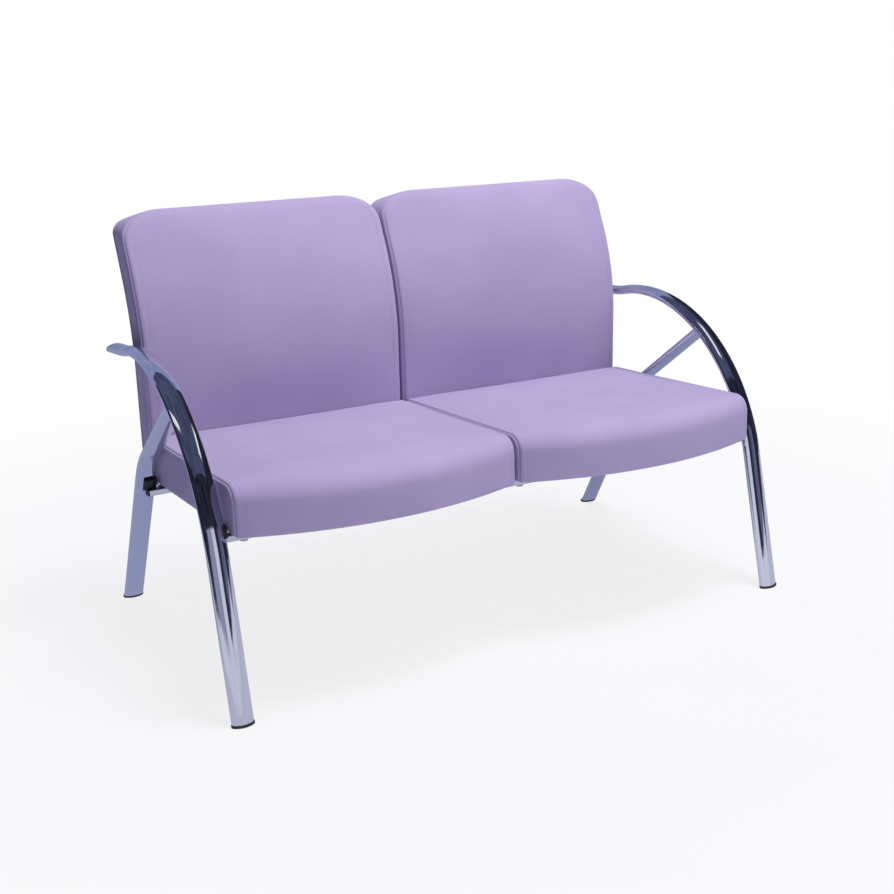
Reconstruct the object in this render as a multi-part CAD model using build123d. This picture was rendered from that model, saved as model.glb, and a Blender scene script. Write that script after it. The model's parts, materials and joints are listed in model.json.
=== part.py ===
"""Two-seat waiting room bench: bent oval tube side frames, two crossbars, two upholstered seats and backs.

Millimetres. X runs along the bench, Y runs from the front (-Y) to the back (+Y), Z is up.
The origin is on the floor in the middle of the footprint. Left means the -X side.
"""
import os
from math import atan2, cos, degrees, radians, sin, sqrt, tan

from build123d import *

# Overall, with the clear widths beside the units, the seats and the backs
FRAME_CENTRES = 1160.0
FOOTPRINT_DEPTH = 682.0
UNIT_CLEARANCE = 4.0
SEAT_GAP = 10.0
BACK_GAP = 3.0

# Oval tube of the side frames
TUBE_WIDTH = 40.0
TUBE_DEPTH = 20.0
TUBE_WALL = 2.0
OVAL_EDGE_SHARE = 0.3

# Front leg and arm, one bent tube
FRONT_LEAN = 14.0
FRONT_STRAIGHT = 284.4
ARM_BEND_RADIUS = 377.4
ARM_TURN = 89.4
ARM_LIFT_RADIUS = 150.0
ARM_LIFT = 7.6
ARM_TAIL = 60.0

# Rear leg, one tube bent at a knee, that ends under the arm
REAR_LEAN = 30.0
REAR_KNEE_HEIGHT = 350.0
REAR_BEND_RADIUS = 200.0
REAR_JOINT_TURN = 44.9

# Plugs and feet
PLUG_NOSE = 10.0
PLUG_NOSE_ROUND = 5.0
PLUG_SPIGOT = 24.0
FOOT_HEIGHT = 5.0
FOOT_MARGIN = 1.0
FOOT_CHAMFER = 0.8

# Crossbars, saddles and their bolts
BAR_WIDTH = 40.0
BAR_HEIGHT = 12.0
BAR_CAP = 3.0
BAR_EDGE = 2.0
FRONT_BAR_OVERLAP = 4.0
REAR_BAR_TONGUE = 18.4
REAR_BOLT_EDGE = 10.0
SADDLE_SIDE = 2.6
SADDLE_FACE = 6.0
SADDLE_WRAP = 7.0
SADDLE_OUTER = 7.0
SADDLE_HEIGHT = 22.0
SADDLE_SCREW = 6.0
SADDLE_SCREW_HEAD = 11.0
SADDLE_SCREW_HEAD_HEIGHT = 3.4
SADDLE_SCREW_LENGTH = 14.0

# Seats, measured in a frame that tilts with the underside of the seats
SEAT_TILT = 3.5
SEAT_UNDERSIDE = 296.5
SEAT_SIDE_HEIGHT = 93.0
SEAT_CROWN = 9.0
SEAT_REAR_REACH = 27.4
SEAT_FRONT_REACH = 48.9
SEAT_BOW = 62.0
SEAT_FRONT_ROUND = 32.0
SEAT_REAR_ROUND = 16.0
SEAT_FOOT_ROUND = 6.0
SEAT_SIDE_ROUND = 5.0
SEAT_LEAN_IN = 4.0
BOARD = 12.0
BOARD_INSET = 16.0
DUST_COVER = 1.5
PAD_HEIGHT = 2.0
PAD_SIDE = 34.0
SEAT_BOLT_INSET = 31.0

# Fasteners
BOLT = 8.0
BOLT_HEAD = 13.0
BOLT_HEAD_HEIGHT = 5.5
WASHER = 18.0
WASHER_HEIGHT = 1.6
TEE_FLANGE = 20.0
TEE_FLANGE_HEIGHT = 1.5
TEE_BARREL = 10.0
SCREW = 6.0
SCREW_HEAD = 11.0
SCREW_SPACING = 60.0
UPRIGHT_BOLT_SPACING = 20.0

# Backs
BACK_SEAT_GAP = 11.5
BACK_BOTTOM = 304.0
BACK_STRAIGHT_TOP = 500.0
BACK_BEND_RADIUS = 470.0
BACK_LEAN = 25.0
BACK_TOP = 812.0
BACK_CUSHION = 54.0
BACK_COVER = 10.0
BACK_CROWN = 20.0
BACK_SEAT_LINE = 388.0
BACK_CROWN_HEIGHT = 480.0
BACK_SHOULDER = 630.0
BACK_CORNER = 60.0
BACK_FOOT_CORNER = 22.0
BACK_TOP_ROUND = 18.0
BACK_FOOT_ROUND = 10.0
BACK_EDGE_DRAW = 7.0
BACK_EDGE_BAND = 10.0
BACK_BOARD_FRONT = 34.0
UPRIGHT_WIDTH = 40.0
UPRIGHT = 5.0
UPRIGHT_BEND = 12.0
UPRIGHT_SPACING = 260.0
UPRIGHT_TOP = 490.0

# Fits, spare stock of a loft that its outline trims off, and the reach of cutting blocks
FIT = 0.3
BOLT_FIT = 0.6
TRIM = 2.0
FAR = 2000.0
HALVINGS = 40

# Derived sizes
INNER_WIDTH = TUBE_WIDTH - 2 * TUBE_WALL
INNER_DEPTH = TUBE_DEPTH - 2 * TUBE_WALL
FRAME_X = FRAME_CENTRES / 2
BAR_END = FRAME_X - BAR_CAP
UNIT_PITCH = (FRAME_CENTRES - TUBE_WIDTH) / 2 - UNIT_CLEARANCE
SEAT_WIDTH = UNIT_PITCH - SEAT_GAP
SEAT_BOLT_SPACING = SEAT_WIDTH - 2 * SEAT_BOLT_INSET
BACK_WIDTH = UNIT_PITCH - BACK_GAP
FOOT_REACH = TUBE_DEPTH / 2 + FOOT_MARGIN
FRONT_FOOT_Y = -FOOTPRINT_DEPTH / 2 + FOOT_REACH / cos(radians(FRONT_LEAN))
REAR_FOOT_Y = FOOTPRINT_DEPTH / 2 - FOOT_REACH / cos(radians(REAR_LEAN))
TILT_SIN = sin(radians(SEAT_TILT))
TILT_COS = cos(radians(SEAT_TILT))
SEAT_FRAME = Plane(origin=(0, 0, SEAT_UNDERSIDE), x_dir=(1, 0, 0), z_dir=(0, TILT_SIN, TILT_COS))
BAR_TOP = -PAD_HEIGHT
BAR_BOTTOM = BAR_TOP - BAR_HEIGHT
UNIT_CENTRES = {"left": -UNIT_PITCH / 2, "right": UNIT_PITCH / 2}

parts = {}


def oval(width, depth):
    """Four-arc oval face: small arcs at the two ends joined by large arcs over the broad faces."""
    half_width = width / 2
    half_depth = depth / 2
    small = OVAL_EDGE_SHARE * depth
    large = (half_width**2 + half_depth**2 - 2 * half_width * small) / (2 * half_depth - 2 * small)
    centre_x = half_width - small
    slope = atan2(large - half_depth, centre_x)
    join_x = centre_x + small * cos(slope)
    join_y = small * sin(slope)
    upper_right = (join_x, join_y)
    upper_left = (-join_x, join_y)
    lower_left = (-join_x, -join_y)
    lower_right = (join_x, -join_y)
    arcs = [
        ThreePointArc(lower_right, (half_width, 0), upper_right),
        ThreePointArc(upper_right, (0, half_depth), upper_left),
        ThreePointArc(upper_left, (-half_width, 0), lower_left),
        ThreePointArc(lower_left, (0, -half_depth), lower_right),
    ]
    return make_face(arcs)


def heading(angle):
    """Unit vector in the side view, angle from straight up, positive towards the back."""
    return Vector(sin(radians(angle)), cos(radians(angle)))


def tube(path, start, angle, face, x):
    """Sweep a section along a side-view path that starts at a point with a given lean."""
    way = Plane.YZ.offset(x) * path
    direction = heading(angle)
    section_plane = Plane(
        origin=(x, start.X, start.Y),
        x_dir=(1, 0, 0),
        z_dir=(0, direction.X, direction.Y),
    )
    return sweep(section_plane * face, path=way, transition=Transition.RIGHT)


def above(solid, height):
    """Part of a solid above a horizontal level."""
    return solid - Pos(0, 0, height - FAR / 2) * Box(FAR, FAR, FAR)


def in_seat_frame(solid):
    """Move a solid from the tilted seat frame to the floor frame."""
    return SEAT_FRAME.location * solid


def seat_level(y, depth):
    """Floor-frame height of the seat-frame plane at a depth, under a floor-frame y."""
    return SEAT_UNDERSIDE - y * tan(radians(SEAT_TILT)) + depth / TILT_COS


def both_sides(name, solid):
    """Store a left solid and its mirror image on the right."""
    parts[name + "_left"] = solid
    parts[name + "_right"] = mirror(solid, about=Plane.YZ)


# Side-view path of the front leg and arm, begun a little under the floor
DIP = 40.0
front_start = Vector(FRONT_FOOT_Y, 0) - heading(FRONT_LEAN) * DIP
front_straight = Line(front_start, front_start + heading(FRONT_LEAN) * (FRONT_STRAIGHT + DIP))
arm_bend = JernArc(front_straight @ 1, front_straight % 1, ARM_BEND_RADIUS, -ARM_TURN)
arm_lift = JernArc(arm_bend @ 1, arm_bend % 1, ARM_LIFT_RADIUS, ARM_LIFT)
arm_tail = Line(arm_lift @ 1, (arm_lift @ 1) + (arm_lift % 1) * ARM_TAIL)
arm_path = Wire([front_straight, arm_bend, arm_lift, arm_tail])
arm_end = arm_tail @ 1
arm_end_angle = FRONT_LEAN + ARM_TURN - ARM_LIFT

# Side-view path of the rear leg, over its knee to the centre line of the arm bend
rear_start = Vector(REAR_FOOT_Y, 0) - heading(-REAR_LEAN) * DIP
rear_knee = Vector(REAR_FOOT_Y - REAR_KNEE_HEIGHT * tan(radians(REAR_LEAN)), REAR_KNEE_HEIGHT)
rear_joint = arm_bend @ (REAR_JOINT_TURN / ARM_TURN)
rear_path = FilletPolyline(rear_start, rear_knee, rear_joint, radius=REAR_BEND_RADIUS)

# Tubes of the left side frame; the rear leg is coped to the underside of the arm
tube_outer = oval(TUBE_WIDTH, TUBE_DEPTH)
tube_ring = tube_outer - oval(INNER_WIDTH, INNER_DEPTH)
tube_clear = oval(TUBE_WIDTH + 2 * FIT, TUBE_DEPTH + 2 * FIT)
arm_ring = tube(arm_path, front_start, FRONT_LEAN, tube_ring, -FRAME_X)
arm_clear = tube(arm_path, front_start, FRONT_LEAN, tube_clear, -FRAME_X)
rear_ring = tube(rear_path, rear_start, -REAR_LEAN, tube_ring, -FRAME_X)
rear_clear = tube(rear_path, rear_start, -REAR_LEAN, tube_clear, -FRAME_X)
arm_leg = above(arm_ring, FOOT_HEIGHT)
rear_leg = above(rear_ring, FOOT_HEIGHT) - arm_clear


def foot(x, y, lean):
    """Foot plug: a flat oval foot under the tube end and a spigot inside the tube."""
    stretch = 1 / cos(radians(lean))
    outline = oval(TUBE_WIDTH + 2 * FOOT_MARGIN, (TUBE_DEPTH + 2 * FOOT_MARGIN) * stretch)
    flange = Pos(x, y, 0) * extrude(outline, FOOT_HEIGHT)
    flange = chamfer(flange.edges().group_by(Axis.Z)[0], FOOT_CHAMFER)
    direction = heading(lean)
    plane = Plane(origin=(x, y, 0), x_dir=(1, 0, 0), z_dir=(0, direction.X, direction.Y))
    spigot_face = oval(INNER_WIDTH - 2 * FIT, INNER_DEPTH - 2 * FIT)
    spigot = above(extrude(plane * spigot_face, PLUG_SPIGOT + FOOT_HEIGHT), FOOT_HEIGHT / 2)
    return flange + spigot


def arm_plug(x):
    """Plug of the arm tip: a rounded oval nose and a spigot inside the tube."""
    direction = heading(arm_end_angle)
    plane = Plane(origin=(x, arm_end.X, arm_end.Y), x_dir=(1, 0, 0), z_dir=(0, direction.X, direction.Y))
    nose = extrude(tube_outer, PLUG_NOSE)
    nose = fillet(nose.edges().group_by(Axis.Z)[-1], PLUG_NOSE_ROUND)
    spigot = extrude(oval(INNER_WIDTH - 2 * FIT, INNER_DEPTH - 2 * FIT), -PLUG_SPIGOT)
    return plane.location * (nose + spigot)


def leg_at(path, height):
    """Side-view point and lean of a leg's centre line at a height, found by halving its path."""
    low = 0.0
    high = 1.0
    for _ in range(HALVINGS):
        middle = (low + high) / 2
        if (path @ middle).Y < height:
            low = middle
        else:
            high = middle
    direction = path % low
    return path @ low, degrees(atan2(direction.X, direction.Y))


def at_each_side(spacing):
    """The x of two points on either side of the middle of every unit."""
    return [unit + side * spacing / 2 for unit in UNIT_CENTRES.values() for side in (-1, 1)]


# Where the legs stand at the level of the crossbars, which carry the seats and the backs
BAR_MIDDLE = (BAR_TOP + BAR_BOTTOM) / 2
front_level = seat_level(FRONT_FOOT_Y, BAR_MIDDLE)
rear_level = seat_level(REAR_FOOT_Y / 2, BAR_MIDDLE)
front_leg_y = leg_at(arm_path, front_level)[0].X
rear_leg_y = leg_at(rear_path, rear_level)[0].X
front_bar_y = front_leg_y + TUBE_DEPTH / 2 - FRONT_BAR_OVERLAP + BAR_WIDTH / 2
rear_bar_y = rear_leg_y - TUBE_DEPTH / 2 - REAR_BAR_TONGUE + BAR_WIDTH / 2
rear_bolt_y = rear_bar_y - BAR_WIDTH / 2 + REAR_BOLT_EDGE
SEAT_CORNER_FRONT = front_bar_y - SEAT_FRONT_REACH
SEAT_REAR = rear_bolt_y + SEAT_REAR_REACH
BACK_FRONT = SEAT_REAR + BACK_SEAT_GAP
seat_bolt_xs = at_each_side(SEAT_BOLT_SPACING)
upright_xs = at_each_side(UPRIGHT_SPACING)
upright_bolt_xs = [x + side * UPRIGHT_BOLT_SPACING / 2 for x in upright_xs for side in (-1, 1)]


def bored(solid, xs, y, diameter):
    """Cut an upright hole in a seat-frame solid at each given x."""
    return solid - [Pos(x, y, 0) * Cylinder(diameter / 2, FAR / 10) for x in xs]


def crossbar(y, bar_width, length):
    """Flat bar along X in the seat frame."""
    bar = Pos(0, y, BAR_MIDDLE) * Box(length, bar_width, BAR_HEIGHT)
    return fillet(bar.edges().filter_by(Axis.X), BAR_EDGE)


def both(solid):
    """A solid and its mirror image on the other side."""
    return solid + mirror(solid, about=Plane.YZ)


front_bar = bored(crossbar(front_bar_y, BAR_WIDTH, 2 * BAR_END), seat_bolt_xs, front_bar_y, BOLT + BOLT_FIT)
rear_bar = bored(crossbar(rear_bar_y, BAR_WIDTH, 2 * BAR_END), seat_bolt_xs, rear_bolt_y, BOLT + BOLT_FIT)
rear_bar = bored(rear_bar, upright_bolt_xs, rear_bar_y, BOLT + BOLT_FIT)
behind_leg_x = FRAME_X - TUBE_WIDTH / 2 - FIT
behind_leg = Pos(-behind_leg_x - FAR / 2, rear_leg_y + FAR / 2, 0) * Box(FAR, FAR, FAR / 10)
front_notch = both(arm_clear)
rear_notch = both(rear_clear)
parts["front_crossbar"] = in_seat_frame(front_bar) - front_notch
parts["rear_crossbar"] = in_seat_frame(rear_bar - both(behind_leg)) - rear_notch

# End caps of the crossbars
cap_x = BAR_END + BAR_CAP / 2
front_cap = Pos(-cap_x, 0, 0) * crossbar(front_bar_y, BAR_WIDTH, BAR_CAP)
rear_cap = Pos(-cap_x, 0, 0) * crossbar(rear_bar_y, BAR_WIDTH, BAR_CAP) - behind_leg
end_caps = in_seat_frame(front_cap) - arm_clear + (in_seat_frame(rear_cap) - rear_clear)
parts["crossbar_end_caps"] = both(end_caps)


# Saddles: clamps that hug the legs on top of the crossbars, open on the outer side
def saddle_face(side):
    """Section of a saddle over one broad face of the tube and around its inner edge."""
    block = oval(TUBE_WIDTH + 2 * SADDLE_SIDE, TUBE_DEPTH + 2 * SADDLE_FACE)
    keep = Pos(FAR / 2 - SADDLE_OUTER, side * (FAR / 2 - SADDLE_WRAP)) * Rectangle(FAR, FAR)
    return block & keep


def saddle(at, lean, side, leg_clear):
    """Saddle around a leg at a side-view point: a prism along the leg, cut level with the crossbar."""
    direction = heading(lean)
    plane = Plane(origin=(-FRAME_X, at.X, at.Y), x_dir=(1, 0, 0), z_dir=(0, direction.X, direction.Y))
    return (extrude(plane * saddle_face(side), SADDLE_HEIGHT, both=True) & saddle_slab) - leg_clear


saddle_middle = BAR_TOP + SADDLE_HEIGHT / 2
saddle_slab = in_seat_frame(Pos(0, 0, saddle_middle) * Box(FAR, FAR, SADDLE_HEIGHT))
front_screw_at, front_saddle_lean = leg_at(arm_path, seat_level(front_leg_y, saddle_middle))
rear_screw_at, rear_saddle_lean = leg_at(rear_path, seat_level(rear_leg_y, saddle_middle))
saddle_front = saddle(front_screw_at, front_saddle_lean, 1, arm_clear)
saddle_rear = saddle(rear_screw_at, rear_saddle_lean, -1, rear_clear)
saddle_face_x = -FRAME_X + TUBE_WIDTH / 2 + SADDLE_SIDE


def along_x(x, at, radius, length):
    """Cylinder along X, centred on x."""
    return Pos(x, at.X, at.Y) * Rot(0, 90, 0) * Cylinder(radius, length)


def saddle_screw(at):
    """Button-head screw through the inner wing of a saddle into the tube wall."""
    head_height = SADDLE_SCREW_HEAD_HEIGHT
    head = along_x(saddle_face_x + head_height / 2, at, SADDLE_SCREW_HEAD / 2, head_height)
    head = fillet(head.edges().sort_by(Axis.X)[-1], head_height * 0.6)
    shank_x = saddle_face_x - SADDLE_SCREW_LENGTH / 2
    return head + along_x(shank_x, at, SADDLE_SCREW / 2, SADDLE_SCREW_LENGTH)


def saddle_bore(at):
    """Clearance hole for a saddle screw, through the wing and the near tube wall."""
    return along_x(saddle_face_x, at, (SADDLE_SCREW + BOLT_FIT) / 2, 2 * SADDLE_SCREW_LENGTH)


front_bore = saddle_bore(front_screw_at)
rear_bore = saddle_bore(rear_screw_at)
both_sides("arm_leg", arm_leg - front_bore)
both_sides("rear_leg", rear_leg - rear_bore)
both_sides("saddle_front", saddle_front - front_bore)
both_sides("saddle_rear", saddle_rear - rear_bore)
parts["saddle_screws"] = both(saddle_screw(front_screw_at) + saddle_screw(rear_screw_at))
both_sides("arm_plug", arm_plug(-FRAME_X))
both_sides("foot_front", foot(-FRAME_X, FRONT_FOOT_Y, FRONT_LEAN))
both_sides("foot_rear", foot(-FRAME_X, REAR_FOOT_Y, -REAR_LEAN))


# Seats
SEAT_STATIONS = (-1.0, -0.6, 0.0, 0.6, 1.0)
SEAT_HALF = SEAT_WIDTH / 2
BOW_RADIUS = (SEAT_HALF**2 + SEAT_BOW**2) / (2 * SEAT_BOW)
BOARD_TOP = DUST_COVER + BOARD


def bow_front(x):
    """Front y of the seat at an x from the middle of the seat."""
    return SEAT_CORNER_FRONT - SEAT_BOW + BOW_RADIUS - sqrt(BOW_RADIUS**2 - x**2)


def rounded(face, point, radius):
    """Round the corner of a face nearest to a point."""
    return fillet(face.vertices().sort_by_distance(Vector(point))[0], radius)


def seat_section(x):
    """Side-view section of a seat cushion at an x from the middle of the seat."""
    swell = 1 - (x / SEAT_HALF) ** 2
    front = bow_front(x)
    side_top = SEAT_SIDE_HEIGHT + SEAT_CROWN * swell / 2
    crest = SEAT_SIDE_HEIGHT + SEAT_CROWN * (swell + 1 / 3)
    low_front = (front + SEAT_LEAN_IN, 0)
    high_front = (front, side_top)
    high_rear = (SEAT_REAR, side_top)
    low_rear = (SEAT_REAR, 0)
    outline = [
        Line(low_front, high_front),
        ThreePointArc(high_front, ((front + SEAT_REAR) / 2, crest), high_rear),
        Line(high_rear, low_rear),
        Line(low_rear, low_front),
    ]
    face = make_face(outline)
    face = rounded(face, high_front, SEAT_FRONT_ROUND)
    face = rounded(face, high_rear, SEAT_REAR_ROUND)
    face = rounded(face, low_front, SEAT_FOOT_ROUND)
    face = rounded(face, low_rear, SEAT_FOOT_ROUND)
    return Plane.YZ.offset(x) * face


def side_edges(solid, half):
    """Edges around the two flat side panels of a lofted cushion."""
    panels = solid.faces().filter_by(Axis.X)
    return [edge for panel in panels if abs(panel.center().X) > half - FIT for edge in panel.edges()]


def seat_plan(inset):
    """Plan of the seat with its bowed front, inset all round."""
    half = SEAT_HALF - inset
    corner = SEAT_CORNER_FRONT + inset
    outline = [
        Line((-half, SEAT_REAR - inset), (-half, corner)),
        ThreePointArc((-half, corner), (0, corner - SEAT_BOW), (half, corner)),
        Line((half, corner), (half, SEAT_REAR - inset)),
        Line((half, SEAT_REAR - inset), (-half, SEAT_REAR - inset)),
    ]
    face = make_face(outline)
    return fillet(face.vertices(), BOARD_INSET)


def slab(face, low, high):
    """Upright prism of a plan face between two levels."""
    return Pos(0, 0, low) * extrude(face, high - low)


def tee_nut():
    """Tee nut standing in a board: flange at the top at z = 0, barrel below."""
    flange = Pos(0, 0, -TEE_FLANGE_HEIGHT / 2) * Cylinder(TEE_FLANGE / 2, TEE_FLANGE_HEIGHT)
    barrel_length = BOARD - FIT
    barrel = Pos(0, 0, -barrel_length / 2) * Cylinder(TEE_BARREL / 2, barrel_length)
    return flange + barrel


def tee_seat():
    """Pocket in a board for a tee nut."""
    flange = Pos(0, 0, -TEE_FLANGE_HEIGHT / 2) * Cylinder(TEE_FLANGE / 2 + FIT, TEE_FLANGE_HEIGHT)
    barrel = Pos(0, 0, -BOARD / 2) * Cylinder(TEE_BARREL / 2 + FIT, BOARD + FIT)
    return flange + barrel


def hex_bolt(shank_top, head_top):
    """Hex bolt with its head under head_top and its shank up to shank_top."""
    hexagon = RegularPolygon(BOLT_HEAD / 2, 6, False)
    head = slab(hexagon, head_top - BOLT_HEAD_HEIGHT, head_top)
    shank = Pos(0, 0, (head_top + shank_top) / 2) * Cylinder(BOLT / 2, shank_top - head_top)
    return head + shank


seat_bolt_ys = (front_bar_y, rear_bolt_y)
unit_bolts = [Pos(side * SEAT_BOLT_SPACING / 2, y, 0) for side in (-1, 1) for y in seat_bolt_ys]
bolt_bore = Cylinder((BOLT + BOLT_FIT) / 2, FAR / 10)
seat_form = loft([seat_section(share * SEAT_HALF) for share in SEAT_STATIONS])
seat_form = fillet(side_edges(seat_form, SEAT_HALF), SEAT_SIDE_ROUND)
board_pocket = slab(seat_plan(BOARD_INSET - FIT), -FAR / 10, BOARD_TOP + FIT)
seat_cushion = seat_form - board_pocket
tee_seats = [at * Pos(0, 0, BOARD_TOP) * tee_seat() for at in unit_bolts]
seat_board = slab(seat_plan(BOARD_INSET), DUST_COVER, BOARD_TOP) - tee_seats
dust_cover = slab(seat_plan(BOARD_INSET), 0, DUST_COVER) - [at * bolt_bore for at in unit_bolts]
pad = Pos(0, 0, -PAD_HEIGHT / 2) * Box(PAD_SIDE, PAD_SIDE, PAD_HEIGHT) - bolt_bore
washer = Pos(0, 0, BAR_BOTTOM - WASHER_HEIGHT / 2) * Cylinder(WASHER / 2, WASHER_HEIGHT) - bolt_bore
bolt_top = BOARD_TOP - TEE_FLANGE_HEIGHT
seat_bolt = hex_bolt(bolt_top, BAR_BOTTOM - WASHER_HEIGHT)
nut = Pos(0, 0, BOARD_TOP) * tee_nut() - bolt_bore
for side, unit in UNIT_CENTRES.items():
    to_unit = SEAT_FRAME.location * Pos(unit, 0, 0)
    parts["seat_cushion_" + side] = to_unit * seat_cushion
    parts["seat_board_" + side] = to_unit * seat_board
    parts["seat_dust_cover_" + side] = to_unit * dust_cover
all_bolts = [SEAT_FRAME.location * Pos(x, y, 0) for x in seat_bolt_xs for y in seat_bolt_ys]
parts["seat_pads"] = Compound([at * pad for at in all_bolts])
parts["seat_washers"] = Compound([at * washer for at in all_bolts])
parts["seat_bolts"] = Compound([at * seat_bolt for at in all_bolts])
parts["seat_tee_nuts"] = Compound([at * nut for at in all_bolts])

# Backs: every face follows one side-view line, moved backwards by an offset
BACK_STATIONS = (-1.0, -0.95, -0.6, 0.0, 0.6, 0.95, 1.0)
BACK_HALF = BACK_WIDTH / 2
BACK_DEPTH = BACK_CUSHION + BACK_COVER
BACK_CENTRE = Vector(BACK_FRONT + BACK_BEND_RADIUS, BACK_STRAIGHT_TOP)
bend_end_z = BACK_STRAIGHT_TOP + BACK_BEND_RADIUS * sin(radians(BACK_LEAN))
BACK_RUN = (BACK_TOP - bend_end_z) / cos(radians(BACK_LEAN))


def back_point(angle, offset):
    """Point of the back line on its bend, at an angle from the start of the bend."""
    radius = BACK_BEND_RADIUS - offset
    return BACK_CENTRE + Vector(-cos(radians(angle)), sin(radians(angle))) * radius


def back_at(height, offset):
    """Side-view point of the back line near a height, on its straight, its bend or its upper run."""
    if height <= BACK_STRAIGHT_TOP:
        return Vector(BACK_FRONT + offset, height)
    if height <= bend_end_z:
        rise = (height - BACK_STRAIGHT_TOP) / BACK_BEND_RADIUS
        across = sqrt(1 - rise**2)
        return BACK_CENTRE + Vector(-across, rise) * (BACK_BEND_RADIUS - offset)
    run = (height - bend_end_z) / cos(radians(BACK_LEAN))
    return back_point(BACK_LEAN, offset) + heading(BACK_LEAN) * run


def back_line(offset, bottom, run):
    """Side-view line, arc and line of the back at an offset, from the bottom to the top."""
    foot_point = Vector(BACK_FRONT + offset, bottom)
    bend_start = Vector(BACK_FRONT + offset, BACK_STRAIGHT_TOP)
    bend_end = back_point(BACK_LEAN, offset)
    lower = Line(foot_point, bend_start)
    bend = ThreePointArc(bend_start, back_point(BACK_LEAN / 2, offset), bend_end)
    upper = Line(bend_end, bend_end + heading(BACK_LEAN) * run)
    return [lower, bend, upper]


def back_layer(near, far, inset):
    """Side-view face of a layer of the back between two offsets, inset at the bottom and the top."""
    front_line = back_line(near, BACK_BOTTOM + inset, BACK_RUN - inset)
    rear_line = back_line(far, BACK_BOTTOM + inset, BACK_RUN - inset)
    cap = Line(front_line[2] @ 1, rear_line[2] @ 1)
    sole = Line(rear_line[0] @ 0, front_line[0] @ 0)
    return make_face(front_line + [cap] + rear_line + [sole])


def back_outline(inset):
    """Front-view prism of a back with rounded corners, inset all round."""
    half = BACK_HALF - inset
    low = BACK_BOTTOM + inset
    high = BACK_TOP - inset - BACK_TOP_ROUND / 3
    face = make_face(Polyline((-half, low), (half, low), (half, high), (-half, high), close=True))
    for x in (-half, half):
        face = rounded(face, (x, high), BACK_CORNER - inset)
        face = rounded(face, (x, low), BACK_FOOT_CORNER - inset)
    return extrude(Plane.XZ * face, -FAR)


def edge_draw(x):
    """How far the front face of a back is drawn in near its sides."""
    nearness = max(0.0, 1 - (BACK_HALF - abs(x)) / BACK_EDGE_BAND)
    return BACK_EDGE_DRAW * nearness**2


def across(face, width):
    """Prism of a side-view face, centred on the middle of the unit."""
    return extrude(Plane.YZ * face, width / 2, both=True)


def back_section(x):
    """Side-view section of a back cushion, with its crown above the seat and spare stock under its foot."""
    swell = BACK_CROWN * (1 - (x / BACK_HALF) ** 2)
    draw = edge_draw(x)
    foot_point = Vector(BACK_FRONT + draw, BACK_BOTTOM - TRIM)
    seat_point = Vector(BACK_FRONT + draw, BACK_SEAT_LINE)
    crown_point = back_at(BACK_CROWN_HEIGHT, draw - swell)
    shoulder = back_at(BACK_SHOULDER, draw - swell * 0.7)
    top_front = back_at(BACK_TOP, draw - swell * 0.25)
    rear_line = back_line(BACK_CUSHION, BACK_BOTTOM - TRIM, BACK_RUN)
    top_rear = rear_line[2] @ 1
    lower = ThreePointArc(seat_point, crown_point, shoulder)
    upper = TangentArc(shoulder, top_front, tangent=lower % 1)
    outline = [
        Line(foot_point, seat_point),
        lower,
        upper,
        Line(top_front, top_rear),
        *rear_line,
        Line(rear_line[0] @ 0, foot_point),
    ]
    face = make_face(outline)
    face = rounded(face, top_front, BACK_TOP_ROUND)
    face = rounded(face, foot_point, BACK_FOOT_ROUND)
    return Plane.YZ.offset(x) * face


back_form = loft([back_section(share * (BACK_HALF + TRIM)) for share in BACK_STATIONS]) & back_outline(0)
BOARD_BACK = BACK_BOARD_FRONT + BOARD
pocket_layer = back_layer(BACK_BOARD_FRONT - FIT, BACK_CUSHION + FIT, BOARD_INSET - FIT)
back_pocket = across(pocket_layer, BACK_WIDTH) & back_outline(BOARD_INSET - FIT)
upright_y = BACK_FRONT + BOARD_BACK + UPRIGHT / 2
slot_depth = BACK_CUSHION - BOARD_BACK
slot = Box(UPRIGHT_WIDTH + 2 * FIT, slot_depth + FIT, 4 * BOARD_INSET)
slot_y = BACK_FRONT + BACK_CUSHION - slot_depth / 2
unit_uprights = [-UPRIGHT_SPACING / 2, UPRIGHT_SPACING / 2]
back_cushion = back_form - back_pocket - [Pos(x, slot_y, BACK_BOTTOM) * slot for x in unit_uprights]
board_layer = back_layer(BACK_BOARD_FRONT, BOARD_BACK, BOARD_INSET)
back_board = across(board_layer, BACK_WIDTH) & back_outline(BOARD_INSET)
back_cover = across(back_layer(BACK_CUSHION, BACK_DEPTH, 0), BACK_WIDTH) & back_outline(0)

# Uprights: flat steel, bolted under the rear crossbar and screwed to the back boards
foot_y = rear_bar_y - BAR_WIDTH / 2
foot_depth = BAR_BOTTOM - UPRIGHT / 2
foot_start = Vector(foot_y, seat_level(foot_y, foot_depth))
bend_corner = Vector(upright_y, seat_level(upright_y, foot_depth))
upright_end = Vector(upright_y, UPRIGHT_TOP)
upright_path = FilletPolyline(foot_start, bend_corner, upright_end, radius=UPRIGHT_BEND)
upright = tube(upright_path, foot_start, 90 + SEAT_TILT, Rectangle(UPRIGHT_WIDTH, UPRIGHT), 0)
bolt_pair = [Pos(side * UPRIGHT_BOLT_SPACING / 2, rear_bar_y, 0) for side in (-1, 1)]
foot_bore = Pos(0, 0, BAR_BOTTOM) * Cylinder((BOLT + BOLT_FIT) / 2, 4 * UPRIGHT)
upright = upright - [in_seat_frame(at * foot_bore) for at in bolt_pair]
upright_bolt = hex_bolt(BAR_TOP - FIT, BAR_BOTTOM - UPRIGHT)
screw_zs = (UPRIGHT_TOP - SCREW_SPACING / 3 - SCREW_SPACING, UPRIGHT_TOP - SCREW_SPACING / 3)
screw_rear = BACK_FRONT + BOARD_BACK + UPRIGHT
screw_places = [Pos(0, screw_rear, z) * Rot(-90, 0, 0) for z in screw_zs]
board_places = [Pos(0, BACK_FRONT + BACK_BOARD_FRONT, z) * Rot(90, 0, 0) for z in screw_zs]
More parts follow.
